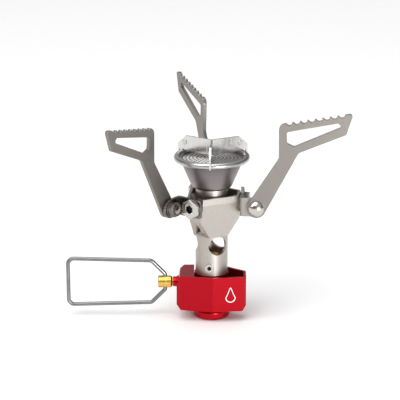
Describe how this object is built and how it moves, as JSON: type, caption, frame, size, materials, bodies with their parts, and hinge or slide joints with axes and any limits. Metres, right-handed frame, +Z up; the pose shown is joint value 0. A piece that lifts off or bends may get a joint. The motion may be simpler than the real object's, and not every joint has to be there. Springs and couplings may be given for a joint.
{
  "type": "canister stove",
  "caption": "Folding gas canister stove: threaded valve block, wire valve handle, burner tube and cup, wind clip and swivelling, folding pot supports.",
  "frame": {"origin": "centre of the canister thread's mouth, at the collar's lower face", "axes": "+Z up along the burner tube, -X along the wire handle, -Y towards the block's front ridge"},
  "size_m": [0.1134, 0.0929, 0.09],
  "materials": {
    "black_steel": "black oxide",
    "brass": "turned",
    "bright_steel": "bright rolled",
    "dark_steel": "spun, heat darkened",
    "red_anodised": "satin anodised",
    "seal_rubber": "moulded",
    "sintered_bronze": "sintered",
    "stainless_sheet": "rolled and tumbled",
    "stainless_wire": "drawn",
    "tube_nickel": "satin nickel plate"
  },
  "bodies": {
    "stove_body": {"valve_block": "red_anodised", "canister_o_ring": "seal_rubber", "pin_depressor": "brass", "gas_jet": "brass", "jet_filter": "sintered_bronze", "gland_nut": "red_anodised", "burner_tube": "tube_nickel", "tube_screw": "tube_nickel", "yoke": "tube_nickel", "knuckle_bolts": "stainless_sheet", "knuckle_washers": "black_steel", "wing_nuts": "stainless_sheet", "burner_cup": "dark_steel", "burner_rim": "bright_steel", "flame_plate": "bright_steel", "clip_leaf_1": "bright_steel", "clip_leaf_2": "bright_steel", "clip_leaf_3": "bright_steel", "clip_rivets": "bright_steel"},
    "valve": {"valve_spindle": "brass", "spindle_o_ring": "seal_rubber"},
    "handle": {"wire_handle": "stainless_wire"},
    "hinge_right": {"knuckle_right": "stainless_sheet", "arm_pin_right": "stainless_sheet", "arm_washer_right": "stainless_sheet", "arm_nut_right": "stainless_sheet"},
    "support_right": {"arm_right": "stainless_sheet"},
    "hinge_rear": {"knuckle_rear": "stainless_sheet", "arm_pin_rear": "stainless_sheet", "arm_washer_rear": "stainless_sheet", "arm_nut_rear": "stainless_sheet"},
    "support_rear": {"arm_rear": "stainless_sheet"},
    "hinge_left": {"knuckle_left": "stainless_sheet", "arm_pin_left": "stainless_sheet", "arm_washer_left": "stainless_sheet", "arm_nut_left": "stainless_sheet"},
    "support_left": {"arm_left": "stainless_sheet"}
  },
  "joints": [
    {"name": "valve_turn", "type": "hinge", "parent": "stove_body", "child": "valve", "pos_m": [0, 0, 0.0145], "axis": [-1, 0, 0], "range_deg": [0, 720]},
    {"name": "handle_fold", "type": "hinge", "parent": "valve", "child": "handle", "pos_m": [-0.0189, 0, 0.0145], "axis": [0, 0, 1], "range_deg": [-90, 90]},
    {"name": "knuckle_right_swivel", "type": "hinge", "parent": "stove_body", "child": "hinge_right", "pos_m": [0, 0, 0.049], "axis": [-0.9945, 0.1045, 0], "range_deg": [0, 180]},
    {"name": "arm_right_fold", "type": "hinge", "parent": "hinge_right", "child": "support_right", "pos_m": [0.0175, -0.01049, 0.049], "axis": [-0.1045, -0.9945, 0], "range_deg": [0, 27]},
    {"name": "knuckle_rear_swivel", "type": "hinge", "parent": "stove_body", "child": "hinge_rear", "pos_m": [0, 0, 0.049], "axis": [0.4067, -0.9135, 0], "range_deg": [0, 180]},
    {"name": "arm_rear_fold", "type": "hinge", "parent": "hinge_rear", "child": "support_rear", "pos_m": [0.00033, 0.0204, 0.049], "axis": [0.9135, 0.4067, 0], "range_deg": [0, 22]},
    {"name": "knuckle_left_swivel", "type": "hinge", "parent": "stove_body", "child": "hinge_left", "pos_m": [0, 0, 0.049], "axis": [0.5878, 0.809, 0], "range_deg": [0, 180]},
    {"name": "arm_left_fold", "type": "hinge", "parent": "hinge_left", "child": "support_left", "pos_m": [-0.01783, -0.00991, 0.049], "axis": [-0.809, 0.5878, 0], "range_deg": [0, 27]}
  ]
}
